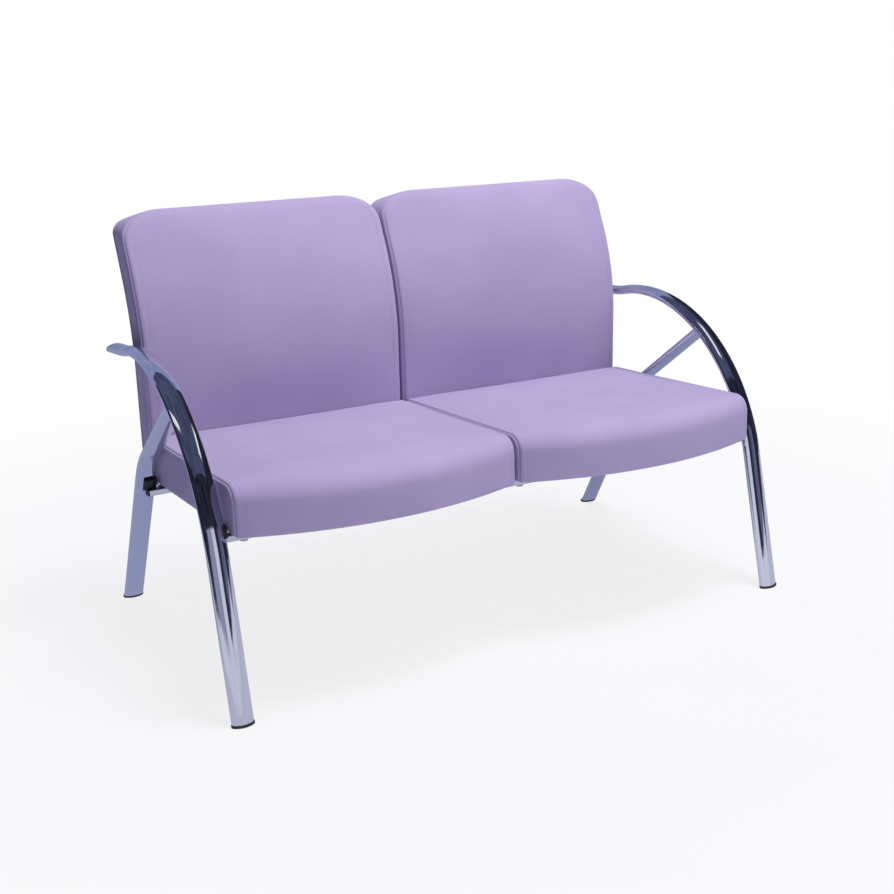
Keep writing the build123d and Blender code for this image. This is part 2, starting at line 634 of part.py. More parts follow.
head_depth = (SCREW_HEAD - SCREW) / 2
screw_length = UPRIGHT + BOARD - TEE_FLANGE_HEIGHT
screw_shank = Pos(0, 0, -(UPRIGHT + BOARD) / 2) * Cylinder(SCREW / 2, screw_length)
screw_cone = Pos(0, 0, -head_depth / 2) * Cone(SCREW / 2, SCREW_HEAD / 2, head_depth)
screw = screw_shank + screw_cone
hole_radius = (SCREW + BOLT_FIT) / 2
sink_radius = (SCREW_HEAD + BOLT_FIT) / 2
screw_hole = Pos(0, 0, -UPRIGHT) * Cylinder(hole_radius, 4 * UPRIGHT)
screw_sink = Pos(0, 0, -head_depth / 2) * Cone(hole_radius, sink_radius, head_depth)
upright = upright - [at * (screw_hole + screw_sink) for at in screw_places]
screw_nut = tee_nut() - Cylinder(hole_radius, FAR / 10)
back_board = back_board - [Pos(x, 0, 0) * at * tee_seat() for x in unit_uprights for at in board_places]
upright_names = ("left_outer", "left_inner", "right_inner", "right_outer")
for label, x in zip(upright_names, upright_xs):
    parts["back_upright_" + label] = Pos(x, 0, 0) * upright
for side, unit in UNIT_CENTRES.items():
    parts["back_cushion_" + side] = Pos(unit, 0, 0) * back_cushion
    parts["back_board_" + side] = Pos(unit, 0, 0) * back_board
    parts["back_cover_" + side] = Pos(unit, 0, 0) * back_cover
upright_bolt_places = [SEAT_FRAME.location * Pos(x, 0, 0) * at for x in upright_xs for at in bolt_pair]
parts["upright_bolts"] = Compound([at * upright_bolt for at in upright_bolt_places])
parts["back_screws"] = Compound([Pos(x, 0, 0) * at * screw for x in upright_xs for at in screw_places])
parts["back_tee_nuts"] = Compound([Pos(x, 0, 0) * at * screw_nut for x in upright_xs for at in board_places])

os.makedirs("parts", exist_ok=True)
for name, solid in parts.items():
    export_step(solid, "parts/" + name + ".step")
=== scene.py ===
"""Looks of the two-seat waiting room bench: soft cushions, seams, stitching, finishes, light and camera."""
import json
from math import cos, pi, radians, sin

import bpy
import numpy as np
from mathutils import Matrix, Quaternion, Vector


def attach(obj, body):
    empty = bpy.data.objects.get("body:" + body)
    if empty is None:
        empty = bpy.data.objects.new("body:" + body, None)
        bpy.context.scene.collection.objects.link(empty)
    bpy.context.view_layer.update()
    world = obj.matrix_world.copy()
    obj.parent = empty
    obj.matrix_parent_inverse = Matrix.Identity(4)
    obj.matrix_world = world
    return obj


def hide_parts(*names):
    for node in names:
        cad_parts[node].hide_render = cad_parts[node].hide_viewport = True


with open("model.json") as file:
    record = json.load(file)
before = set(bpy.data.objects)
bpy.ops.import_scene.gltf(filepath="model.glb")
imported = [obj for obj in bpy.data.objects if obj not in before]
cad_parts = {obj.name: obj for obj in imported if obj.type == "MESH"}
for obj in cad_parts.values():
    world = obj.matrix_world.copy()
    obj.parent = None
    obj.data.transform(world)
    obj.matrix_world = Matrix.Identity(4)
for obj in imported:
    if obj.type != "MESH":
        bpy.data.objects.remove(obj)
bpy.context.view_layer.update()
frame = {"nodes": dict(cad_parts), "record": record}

# Places of the two units, in metres
UNITS = {"left": -0.278, "right": 0.278}

# Seat cushion, in a frame that tilts with the underside of the seats
SEAT_TILT = radians(3.5)
SEAT_UNDERSIDE = 0.2965
SEAT_HALF = 0.2760
SEAT_HEIGHT = 0.0925
SEAT_REAR = 0.1845
SEAT_CORNER_FRONT = -0.2820
SEAT_BOW = 0.0565
SEAT_BOW_RADIUS = (SEAT_HALF**2 + SEAT_BOW**2) / (2 * SEAT_BOW)
SEAT_FRONT_SAG = 0.003
SEAT_SAG_SHARE = 0.1
SEAT_FRONT_ROUND = 0.034
SEAT_REAR_ROUND = 0.018
SEAT_FOOT_ROUND = 0.006
SEAT_LEAST_ROUND = 0.001
SEAT_EDGE_ROUND = 0.010
SEAT_CROWN = 0.006
SEAT_CROWN_POWER = 4
SEAT_LEAN_IN = 0.004
SEAT_LEAN_POWER = 4
SEAT_STITCH_INSET = 0.006
SEAT_CAP = 0.009
BOARD_RIM = 0.009
BOARD_POCKET = 0.0142
UNDERSIDE_MARGIN = 1e-4

# Numbers of steps round the seat section, and where its rear and its foot begin
FOOT_STEPS = 2
FACE_STEPS = 8
ROUND_STEPS = 4
TOP_STEPS = 54
SIDE_TALL = FOOT_STEPS + FACE_STEPS + ROUND_STEPS
SIDE_LONG = TOP_STEPS + 2 * ROUND_STEPS
BOTTOM_STEPS = SIDE_LONG - 2 * FOOT_STEPS
REAR_START = SIDE_TALL + SIDE_LONG
FOOT_START = REAR_START + SIDE_TALL
SEAT_COLUMNS = 68

# Back cushion and its rear cover panel
BACK_HALF = 0.2765
BACK_FRONT = 0.188
BACK_BOTTOM = 0.304
BACK_STRAIGHT_TOP = 0.500
BACK_BEND = 0.470
BACK_LEAN = radians(25.0)
BACK_UPPER_RUN = 0.1228
BACK_TOTAL = BACK_STRAIGHT_TOP - BACK_BOTTOM + BACK_BEND * BACK_LEAN + BACK_UPPER_RUN
BACK_DEPTH = 0.0537
BACK_FACE_CORNER = (0.104, 0.066)
BACK_REAR_CORNER = (0.040, 0.030)
BACK_FOOT_CORNER = 0.020
BACK_EDGE_ROUND = 0.014
BACK_STITCH_INSET = 0.004
BACK_CROWN = 0.011
BACK_CROWN_FOOT = 0.075
BACK_CROWN_PEAK = 0.190
BACK_CAP = 0.011
PANEL_NEAR = 0.0543
PANEL_FAR = 0.0640
PANEL_EDGE_ROUND = 0.005
PANEL_CROWN = 0.0
CORNER_STEPS = 8
FOOT_CORNER_STEPS = 4
BACK_ROWS = 58
BACK_COLUMNS = 70
BAND_STEPS = 6
CROSS_SEAM_RUN = 0.041
FIRST_STITCHED_ROW = 2

# Seams and stitches; a stitch is given by places along it and their thickness and lift
EDGE_ANGLES = np.radians([22.5, 38.0, 45.0, 52.0, 70.0, 90.0])
SEAM_RING = 2
SEAM_DEPTH = 0.0024
STITCH_DEPTH = 0.0008
STITCH_PITCH = 0.0050
STITCH_LENGTH = 0.0036
STITCH_RADIUS = 0.00045
STITCH_SIDES = 6
STITCH_PLACES = STITCH_LENGTH * np.array([-0.5, -0.3, 0.3, 0.5])
STITCH_THICKNESS = STITCH_RADIUS * np.array([0.35, 1.0, 1.0, 0.35])
STITCH_LIFT = STITCH_RADIUS * np.array([-0.9, 0.3, 0.3, -0.9])

# Swelling of the padding
CLOTH_FRAMES = 20
CLOTH_QUALITY = 5
CLOTH_MASS = 0.3
CLOTH_STRETCH_STIFFNESS = 30.0
CLOTH_SHEAR_STIFFNESS = 10.0
CLOTH_BENDING_STIFFNESS = 4.0
CLOTH_PRESSURE = 4.0
EASE_ROUNDS = 25
LEAST_DISTANCE = 1e-9
SMOOTHING_LEVELS = 1

# Range in which a noise mostly varies, and how much paler chrome gets over it
NOISE_LOW = 0.35
NOISE_HIGH = 0.65
CHROME_PALER = 1.06

# Background and floor
WHITE = (1.0, 1.0, 1.0)
BLACK = (0.0, 0.0, 0.0)
FILL_COLOUR = (0.060, 0.058, 0.150)
FLOOR_HALF = 7.0
FLOOR_WHITE_SHARE = 0.82
FLOOR_FADE_START = 0.9
FLOOR_FADE_END = 2.2

# Soft lamps: place, width, height and power
LAMP_TARGET = (0.0, 0.0, 0.45)
LAMPS = {
    "key_lamp": ((0.9, -0.6, 5.0), 1.8, 1.8, 230.0),
    "fill_lamp": ((0.9, -4.6, 1.8), 2.4, 1.4, 60.0),
    "rear_lamp": ((0.0, 4.6, 2.0), 2.4, 1.4, 70.0),
}

# Tones of the studio cards: low and high colour
TONES = {
    "night": ((0.010, 0.011, 0.020), (0.030, 0.033, 0.060)),
    "navy": ((0.050, 0.060, 0.115), (0.080, 0.095, 0.170)),
    "dim": ((0.095, 0.105, 0.190), (0.140, 0.155, 0.260)),
    "dusk": ((0.260, 0.280, 0.420), (0.340, 0.360, 0.500)),
    "slate": ((0.220, 0.250, 0.430), (0.290, 0.330, 0.540)),
    "steel_blue": ((0.270, 0.300, 0.470), (0.350, 0.380, 0.580)),
    "haze": ((0.500, 0.510, 0.640), (0.580, 0.590, 0.720)),
    "mist": ((0.620, 0.650, 0.800), (0.700, 0.730, 0.860)),
    "white": ((0.95, 0.95, 0.95), WHITE),
}

# Directions that the studio cards face
TO_FRONT = (0.0, -1.0, 0.0)
TO_REAR = (0.0, 1.0, 0.0)
TO_LEFT = (-1.0, 0.0, 0.0)
TO_RIGHT = (1.0, 0.0, 0.0)
UP = (0.0, 0.0, 1.0)
DOWN = (0.0, 0.0, -1.0)

# Studio cards: centre, direction they face, width, height, tone and roll in degrees
CARDS = {
    "front_card": ((0.0, -4.2, 4.05), TO_REAR, 9.0, 3.9, "night", 0.0),
    "front_left_card": ((-3.8, -4.2, 1.2), TO_REAR, 1.4, 1.8, "night", 0.0),
    "front_dusk_card": ((-2.05, -4.2, 1.2), TO_REAR, 2.1, 1.8, "dusk", 0.0),
    "front_mist_card": ((-0.3, -4.2, 1.2), TO_REAR, 1.4, 1.8, "mist", 0.0),
    "front_right_card": ((1.1, -4.2, 1.2), TO_REAR, 1.4, 1.8, "night", 0.0),
    "front_dim_card": ((3.15, -4.2, 1.2), TO_REAR, 2.7, 1.8, "dim", 0.0),
    "front_low_card": ((0.0, -4.2, 0.15), TO_REAR, 9.0, 0.3, "mist", 0.0),
    "right_card": ((4.5, 0.0, 3.0), TO_LEFT, 8.4, 6.0, "night", 0.0),
    "left_card": ((-4.5, 0.0, 3.0), TO_RIGHT, 8.4, 6.0, "night", 0.0),
    "rear_card": ((0.0, 4.2, 3.0), TO_FRONT, 9.0, 6.0, "slate", 0.0),
    "top_card": ((0.0, 0.0, 6.0), DOWN, 9.0, 8.4, "navy", 0.0),
    "floor_card": ((0.0, 2.05, 0.003), UP, 9.0, 4.3, "steel_blue", 0.0),
    "front_floor_card": ((0.0, -2.15, 0.003), UP, 9.0, 4.1, "haze", 0.0),
    "left_lens": ((-3.36, 0.46, 5.9), DOWN, 0.7, 2.6, "white", 32.0),
    "right_lens": ((1.03, -0.38, 2.2), DOWN, 0.35, 1.0, "white", -19.0),
}

# Camera
CAMERA_AT = (-1.2287, -2.2731, 1.0845)
CAMERA_TURN = radians(28.440)
CAMERA_DROP = radians(16.575)
CAMERA_ROLL = radians(-1.233)
CAMERA_FOCUS_PIXELS = 1325.0
IMAGE_PIXELS = 894.0
SENSOR = 36.0


# Shared helpers
def smooth_step(low, high, value):
    """Zero below low, one above high, and a cubic ease between them."""
    share = np.clip((value - low) / (high - low), 0.0, 1.0)
    return share * share * (3.0 - 2.0 * share)


def grid_faces(index):
    """Quads between neighbouring rows and columns of an array of vertex numbers."""
    quads = np.stack([index[:-1, :-1], index[1:, :-1], index[1:, 1:], index[:-1, 1:]], axis=-1)
    return quads.reshape(-1, 4)


def closed(index):
    """An array of vertex numbers with its first column repeated at the end."""
    return np.concatenate([index, index[:, :1]], axis=1)


def new_piece(name, points, faces, material):
    """A smooth-shaded mesh object from an array of points and a list of faces."""
    mesh = bpy.data.meshes.new(name)
    mesh.from_pydata(points.reshape(-1, 3).tolist(), [], [list(face) for face in faces])
    mesh.polygons.foreach_set("use_smooth", np.ones(len(mesh.polygons), dtype=bool))
    mesh.materials.append(material)
    mesh.update()
    piece = bpy.data.objects.new(name, mesh)
    bpy.context.scene.collection.objects.link(piece)
    return piece


def points_of(mesh):
    """Vertex places of a mesh as an array."""
    flat = np.empty(3 * len(mesh.vertices), dtype=np.float32)
    mesh.vertices.foreach_get("co", flat)
    return flat.reshape(-1, 3).astype(float)


def normals_at(points, faces):
    """Unit normals at the vertices: the cross products of the quads' diagonals, summed at their corners."""
    corners = points[faces]
    face_normals = np.cross(corners[:, 2] - corners[:, 0], corners[:, 3] - corners[:, 1])
    totals = np.zeros_like(points)
    for corner in range(4):
        np.add.at(totals, faces[:, corner], face_normals)
    return totals / np.linalg.norm(totals, axis=1, keepdims=True)


def eased(moves, faces, pinned):
    """Moves of points, averaged several times with those of their neighbours along the quads."""
    starts = faces.ravel()
    ends = np.roll(faces, -1, axis=1).ravel()
    counts = np.bincount(np.concatenate([starts, ends]), minlength=len(moves))[:, None]
    for _ in range(EASE_ROUNDS):
        totals = np.zeros_like(moves)
        np.add.at(totals, starts, moves[ends])
        np.add.at(totals, ends, moves[starts])
        moves = np.where(pinned[:, None], 0.0, (moves + totals / counts) / 2)
    return moves


def swell(points, faces, pinned, cap):
    """Inflate a closed cover as cloth under pressure, ease out its buckles and cap how far it moves."""
    piece = new_piece("swelling_cover", points, faces, None)
    group = piece.vertex_groups.new(name="held")
    group.add(np.flatnonzero(pinned).tolist(), 1.0, "REPLACE")
    cloth = piece.modifiers.new("swelling", "CLOTH")
    cloth.settings.quality = CLOTH_QUALITY
    cloth.settings.mass = CLOTH_MASS
    cloth.settings.tension_stiffness = CLOTH_STRETCH_STIFFNESS
    cloth.settings.compression_stiffness = CLOTH_STRETCH_STIFFNESS
    cloth.settings.shear_stiffness = CLOTH_SHEAR_STIFFNESS
    cloth.settings.bending_stiffness = CLOTH_BENDING_STIFFNESS
    cloth.settings.use_pressure = True
    cloth.settings.uniform_pressure_force = CLOTH_PRESSURE
    cloth.settings.vertex_group_mass = group.name
    cloth.settings.effector_weights.gravity = 0.0
    cloth.collision_settings.use_collision = False
    cloth.point_cache.frame_end = CLOTH_FRAMES
    for step in range(1, CLOTH_FRAMES + 1):
        bpy.context.scene.frame_set(step)
    view = bpy.context.evaluated_depsgraph_get()
    moved = points_of(piece.evaluated_get(view).data) - points
    bpy.data.objects.remove(piece)
    bpy.context.scene.frame_set(1)
    moved = eased(moved, faces, pinned)
    distance = np.linalg.norm(moved, axis=1, keepdims=True)
    return points + moved * np.minimum(1.0, cap / np.maximum(distance, LEAST_DISTANCE))


def press_in(points, normals, numbers, depth):
    """Draw the listed points inwards along their normals."""
    pressed = points.copy()
    pressed[numbers] -= depth * normals[numbers]
    return pressed


# Seat cushion
def seat_front(x):
    """Front y of the seat at an x: an arc of a circle that bows forward in the middle."""
    aside = np.minimum(np.abs(x), SEAT_HALF)
    return SEAT_CORNER_FRONT - SEAT_BOW + SEAT_BOW_RADIUS - np.sqrt(SEAT_BOW_RADIUS**2 - aside**2)


def turn(centre_y, centre_z, radius, start, end, steps):
    """Arc round a centre in the side view, from one angle to another in degrees, without its last point."""
    angle = np.radians(np.linspace(start, end, steps, endpoint=False))
    return centre_y + radius * np.cos(angle), centre_z + radius * np.sin(angle)


def run(from_y, from_z, to_y, to_z, steps):
    """Straight stretch in the side view, without its last point."""
    share = np.linspace(0.0, 1.0, steps, endpoint=False)
    return from_y + (to_y - from_y) * share, from_z + (to_z - from_z) * share


def seat_loops(x, inset):
    """Side-view loops of the seat at each x: a rounded rectangle from the front foot up, over and back.

    The loop is drawn in by the inset, its top is raised by a crown, its front leans in towards the foot
    and sags in the middle, and its underside steps up behind a rim to leave room for the board.
    """
    x = x[:, None]
    inset = inset[:, None]
    front = seat_front(x) + inset
    rear = SEAT_REAR - inset
    low = inset
    high = SEAT_HEIGHT - inset
    foot = np.maximum(SEAT_FOOT_ROUND - inset, SEAT_LEAST_ROUND)
    nose = SEAT_FRONT_ROUND - inset
    heel = SEAT_REAR_ROUND - inset
    stretches = [
        turn(front + foot, low + foot, foot, 225, 180, FOOT_STEPS),
        run(front, low + foot, front, high - nose, FACE_STEPS),
        turn(front + nose, high - nose, nose, 180, 90, 2 * ROUND_STEPS),
        run(front + nose, high, rear - heel, high, TOP_STEPS),
        turn(rear - heel, high - heel, heel, 90, 0, 2 * ROUND_STEPS),
        run(rear, high - heel, rear, low + foot, FACE_STEPS),
        turn(rear - foot, low + foot, foot, 0, -90, 2 * FOOT_STEPS),
        run(rear - foot, low, front + foot, low, BOTTOM_STEPS),
        turn(front + foot, low + foot, foot, 270, 225, FOOT_STEPS),
    ]
    y, z = (np.concatenate(parts, axis=1) for parts in zip(*stretches))
    along = np.clip((y - front) / (rear - front), 0.0, 1.0)
    up = np.clip(z / SEAT_HEIGHT, 0.0, 1.0)
    inner = 1 - (x / SEAT_HALF) ** 2
    edge = np.minimum(np.minimum(y - front, rear - y), SEAT_HALF - np.abs(x))
    pocket = BOARD_POCKET * smooth_step(BOARD_RIM, 2 * BOARD_RIM, edge) * (z < low + UNDERSIDE_MARGIN)
    crown = SEAT_CROWN * up**SEAT_CROWN_POWER * np.sin(pi * along) * inner
    sag = SEAT_FRONT_SAG * (1 - up) * (1 - smooth_step(0.0, SEAT_SAG_SHARE, along)) * inner
    y = y + SEAT_LEAN_IN * (1 - up) * (1 - along) ** SEAT_LEAN_POWER
    z = z + crown + pocket - sag
    return np.stack(np.broadcast_arrays(x, y, z), axis=-1)


def four_sides(loop):
    """Front, top, rear and foot of an end loop, each taken upwards or rearwards with both its ends."""
    ring = np.concatenate([loop, loop[:1]])
    front = ring[: SIDE_TALL + 1]
    top = ring[SIDE_TALL : REAR_START + 1]
    rear = ring[REAR_START : FOOT_START + 1][::-1]
    foot = ring[FOOT_START:][::-1]
    return front, top, rear, foot


def side_panel(loop):
    """Inner points of a side panel: a Coons patch between the front, top, rear and foot of an end loop."""
    front, top, rear, foot = four_sides(loop)
    up = np.linspace(0, 1, SIDE_TALL + 1)[:, None, None]
    back = np.linspace(0, 1, SIDE_LONG + 1)[None, :, None]
    ruled = (1 - up) * foot + up * top + (1 - back) * front[:, None] + back * rear[:, None]
    low_edge = (1 - back) * front[0] + back * rear[0]
    high_edge = (1 - back) * front[-1] + back * rear[-1]
    patch = ruled - (1 - up) * low_edge - up * high_edge
    return patch[1:-1, 1:-1]


def side_index(loop, first):
    """Vertex numbers of a side panel: its rim taken from an end loop, its inside numbered from first."""
    index = np.empty((SIDE_TALL + 1, SIDE_LONG + 1), dtype=int)
    inside = index[1:-1, 1:-1]
    inside[:] = first + np.arange(inside.size).reshape(inside.shape)
    index[:, 0], index[-1], index[:, -1], index[0] = four_sides(loop)
    return index


def seat_shell():
    """Seat cover as points, quads and the vertex numbers of its loops, in the tilted seat frame.

    Loops are carried across x; at each side they follow a quarter circle inwards to a flat side panel.
    """
    flat_half = SEAT_HALF - SEAT_EDGE_ROUND
    stitched = flat_half - SEAT_STITCH_INSET
    middle = np.linspace(-stitched, stitched, SEAT_COLUMNS)
    edge_x = flat_half + SEAT_EDGE_ROUND * np.sin(EDGE_ANGLES)
    edge_inset = SEAT_EDGE_ROUND * (1 - np.cos(EDGE_ANGLES))
    x = np.concatenate([-edge_x[::-1], [-flat_half], middle, [flat_half], edge_x])
    inset = np.concatenate([edge_inset[::-1], np.zeros(len(middle) + 2), edge_inset])
    loops = seat_loops(x, inset)
    index = np.arange(loops.shape[0] * loops.shape[1]).reshape(loops.shape[:2])
    left_side = side_panel(loops[0])
    right_side = side_panel(loops[-1])
    left_index = side_index(index[0], index.size)
    right_index = side_index(index[-1], index.size + left_side[..., 0].size)
    points = np.concatenate([part.reshape(-1, 3) for part in (loops, left_side, right_side)])
    faces = np.concatenate([grid_faces(closed(index)), grid_faces(left_index), grid_faces(right_index.T)])
    return points, faces, index


def from_seat_frame(points):
    """Turn points from the tilted seat frame to the floor frame."""
    y = points[:, 1] * cos(SEAT_TILT) + points[:, 2] * sin(SEAT_TILT)
    z = SEAT_UNDERSIDE - points[:, 1] * sin(SEAT_TILT) + points[:, 2] * cos(SEAT_TILT)
    return np.stack([points[:, 0], y, z], axis=1)


def seat_cover():
    """Finished seat cover: swollen, turned to the floor frame, with its seams and stitch lines drawn in."""
    points, faces, index = seat_shell()
    edge = len(EDGE_ANGLES)
    sewn = slice(0, REAR_START + ROUND_STEPS)
    seams = np.concatenate([index[edge - 1 - SEAM_RING, sewn], index[SEAM_RING - edge, sewn]])
    rows = [index[edge + 1, sewn], index[-edge - 2, sewn]]
    pinned = points[:, 2] < SEAT_FOOT_ROUND
    pinned[index[:, REAR_START:]] = True
    pinned[seams] = True
    points = from_seat_frame(swell(points, faces, pinned, SEAT_CAP))
    normals = normals_at(points, faces)
    points = press_in(points, normals, seams, SEAM_DEPTH)
    points = press_in(points, normals, np.concatenate(rows), STITCH_DEPTH)
    return points, faces, normals, rows


# Back cushion and its rear panel
def back_place(x, climb, depth):
    """Place on the back from its x, its climb along the back line and its depth behind that line.

    The back line is a straight, then an arc, then a straight that leans back. Depth is square to it.
    """
    above = climb - (BACK_STRAIGHT_TOP - BACK_BOTTOM)
    angle = np.clip(above / BACK_BEND, 0.0, BACK_LEAN)
    under = np.minimum(above, 0.0)
    beyond = np.maximum(above - BACK_BEND * BACK_LEAN, 0.0)
    radius = BACK_BEND - depth
    y = BACK_FRONT + BACK_BEND - radius * np.cos(angle) + beyond * np.sin(angle)
    z = BACK_STRAIGHT_TOP + radius * np.sin(angle) + under + beyond * np.cos(angle)
    return np.stack(np.broadcast_arrays(x, y, z), axis=-1)


def back_outline(inset, top_corner):
    """Climb, half-width and outward direction of the rows of a back.

    Its foot corners are round, and its top corners are quarter ellipses of a given width and height.
    """
    half = BACK_HALF - inset
    foot = BACK_FOOT_CORNER - inset
    wide = top_corner[0] - inset
    tall = top_corner[1] - inset
    corner_start = BACK_TOTAL - top_corner[1]
    low_angle = np.linspace(0, pi / 2, FOOT_CORNER_STEPS, endpoint=False)
    high_angle = np.linspace(0, pi / 2, CORNER_STEPS + 1)
    straight = np.linspace(BACK_FOOT_CORNER, corner_start, BACK_ROWS, endpoint=False)
    low_climb = BACK_FOOT_CORNER - foot * np.cos(low_angle)
    high_climb = corner_start + tall * np.sin(high_angle)
    climb = np.concatenate([low_climb, straight, high_climb])
    low_width = half - foot + foot * np.sin(low_angle)
    high_width = half - wide + wide * np.cos(high_angle)
    width = np.concatenate([low_width, np.full(BACK_ROWS, half), high_width])
    slope = np.hypot(tall * np.cos(high_angle), wide * np.sin(high_angle))
    high_aside = tall * np.cos(high_angle) / slope
    high_upward = wide * np.sin(high_angle) / slope
    aside = np.concatenate([np.sin(low_angle), np.ones(BACK_ROWS), high_aside])
    upward = np.concatenate([-np.cos(low_angle), np.zeros(BACK_ROWS), high_upward])
    return climb, width, aside, upward


def round_trip(grid):
    """Rim of a grid: first row, last column, last row backwards, then first column backwards."""
    return np.concatenate([grid[0], grid[1:, -1], grid[-1, -2::-1], grid[-2:0:-1, 0]])


def rim_directions(aside, upward, shape):
    """Outward direction round the rim of a face, from the directions of its rows."""
    lean_x = np.zeros(shape)
    lean_up = np.zeros(shape)
    lean_x[:, 0] = -aside
    lean_x[:, -1] = aside
    lean_up[:, 0] = upward
    lean_up[:, -1] = upward
    lean_up[0] = -1.0
    lean_up[-1] = 1.0
    return round_trip(lean_x), round_trip(lean_up)


def back_shell(face_depth, edge_round, face_corner, end_depth, end_corner, crown):
    """Points, quads and vertex numbers of a pad on the back line.

    The face is a grid of rows and columns with a crown. Its rim follows a quarter circle to the side band,
    which blends to the outline of the far side, and a flat grid closes that side. The far side may lie in
    front of the face or behind it.
    """
    thick = abs(end_depth - face_depth)
    inward = np.sign(end_depth - face_depth)
    stitched = 1 - BACK_STITCH_INSET / BACK_HALF
    share = np.concatenate([[-1.0], np.linspace(-stitched, stitched, BACK_COLUMNS - 1), [1.0]])

    # Face
    climb, width, aside, upward = back_outline(edge_round, face_corner)
    face_x = width[:, None] * share
    face_climb = np.broadcast_to(climb[:, None], face_x.shape)
    late = np.clip((climb - BACK_CROWN_PEAK) / (climb[-1] - BACK_CROWN_PEAK), 0.0, 1.0)
    rise = smooth_step(BACK_CROWN_FOOT, BACK_CROWN_PEAK, climb) * (1 - late**2)
    swelling = crown * rise[:, None] * (1 - share**2)
    face = back_place(face_x, face_climb, face_depth - inward * swelling)

    # Far side
    far_climb, far_width, _, _ = back_outline(0.0, end_corner)
    far_x = far_width[:, None] * share
    far_climb = np.broadcast_to(far_climb[:, None], far_x.shape)
    far = back_place(far_x, far_climb, end_depth)

    # Rings of the rounded edge and the side band
    rim_aside, rim_up = rim_directions(aside, upward, face_x.shape)
    rounding = edge_round * np.sin(EDGE_ANGLES)
    sinking = edge_round * (1 - np.cos(EDGE_ANGLES))
    band = np.linspace(edge_round, thick, BAND_STEPS + 1)[1:-1]
    reach = np.concatenate([rounding, np.full(len(band), edge_round)])[:, None]
    travel = np.concatenate([sinking, band])[:, None]
    blend = travel / thick
    ring_x = (1 - blend) * (round_trip(face_x) + rim_aside * reach) + blend * round_trip(far_x)
    ring_climb = (1 - blend) * (round_trip(face_climb) + rim_up * reach) + blend * round_trip(far_climb)
    rings = back_place(ring_x, ring_climb, face_depth + inward * travel)

    # Vertex numbers and quads
    face_index = np.arange(face_x.size).reshape(face_x.shape)
    ring_index = face_index.size + np.arange(rings[..., 0].size).reshape(rings.shape[:2])
    far_index = face_index.size + ring_index.size + face_index
    loops = np.concatenate([round_trip(face_index)[None], ring_index, round_trip(far_index)[None]])
    points = np.concatenate([part.reshape(-1, 3) for part in (face, rings, far)])
    faces = np.concatenate([grid_faces(face_index.T), grid_faces(closed(loops)), grid_faces(far_index)])
    if inward < 0:
        faces = faces[:, ::-1]
    return points, faces, face_index, loops


def back_cover():
    """Finished back cover: swollen above the seat, with its seams and side stitch lines drawn in."""
    points, faces, face_index, loops = back_shell(
        0.0, BACK_EDGE_ROUND, BACK_FACE_CORNER, BACK_DEPTH, BACK_REAR_CORNER, BACK_CROWN
    )
    pinned = np.ones(len(points), dtype=bool)
    pinned[face_index] = False
    pinned[loops[:-BAND_STEPS]] = False
    pinned |= points[:, 2] < BACK_BOTTOM + BACK_CROWN_FOOT
    rows, columns = face_index.shape
    seam_top = rows - 1 - CORNER_STEPS // 2
    seam_loop = loops[1 + SEAM_RING]
    seam = np.concatenate([seam_loop[columns : columns - 1 + seam_top], seam_loop[1 - seam_top :]])
    pinned[seam] = True
    points = swell(points, faces, pinned, BACK_CAP)
    normals = normals_at(points, faces)
    row_height = BACK_TOTAL / BACK_ROWS
    cross_row = FOOT_CORNER_STEPS + round((CROSS_SEAM_RUN - BACK_FOOT_CORNER) / row_height)
    band_loops = loops[2 + SEAM_RING : -1]
    cross = np.concatenate([band_loops[:, columns - 1 + cross_row], band_loops[:, -cross_row]])
    stitches = [face_index[FIRST_STITCHED_ROW:seam_top, column] for column in (1, -2)]
    points = press_in(points, normals, np.concatenate([seam, cross]), SEAM_DEPTH)
    points = press_in(points, normals, np.concatenate(stitches), STITCH_DEPTH)
    return points, faces, normals, stitches


# Stitches
def stitch_row(line, normals):
    """Points and faces of a row of stitches along a line on a cover.

    Each stitch is a thin rod that narrows and dips into the cover at its two ends.
    """
    steps = np.linalg.norm(np.diff(line, axis=0), axis=1)
    length = np.concatenate([[0.0], np.cumsum(steps)])
    middles = np.arange(STITCH_PITCH, length[-1] - STITCH_PITCH, STITCH_PITCH)
    places = middles[:, None] + STITCH_PLACES
    centre = np.stack([np.interp(places, length, line[:, axis]) for axis in range(3)], axis=-1)
    out = np.stack([np.interp(places, length, normals[:, axis]) for axis in range(3)], axis=-1)
    out /= np.linalg.norm(out, axis=-1, keepdims=True)
    along = centre[:, -1:] - centre[:, :1]
    aside = np.cross(along / np.linalg.norm(along, axis=-1, keepdims=True), out)
    angle = np.linspace(0, 2 * pi, STITCH_SIDES, endpoint=False)
    ring = np.cos(angle)[:, None] * aside[:, :, None] + np.sin(angle)[:, None] * out[:, :, None]
    points = (centre + STITCH_LIFT[:, None] * out)[:, :, None] + STITCH_THICKNESS[:, None, None] * ring
    index = np.arange(points[..., 0].size).reshape(points.shape[:3])
    sides = np.concatenate([index, index[:, :, :1]], axis=2)
    corners = [sides[:, :-1, :-1], sides[:, :-1, 1:], sides[:, 1:, 1:], sides[:, 1:, :-1]]
    quads = np.stack(corners, axis=-1).reshape(-1, 4)
    faces = quads.tolist() + index[:, 0, ::-1].tolist() + index[:, -1].tolist()
    return points.reshape(-1, 3), faces


def stitching(name, lines, material):
    """One piece that holds several rows of stitches."""
    all_points = []
    all_faces = []
    first = 0
    for line, normals in lines:
        points, faces = stitch_row(line, normals)
        all_points.append(points)
        all_faces += [[number + first for number in face] for face in faces]
        first += len(points)
    return new_piece(name, np.concatenate(all_points), all_faces, material)


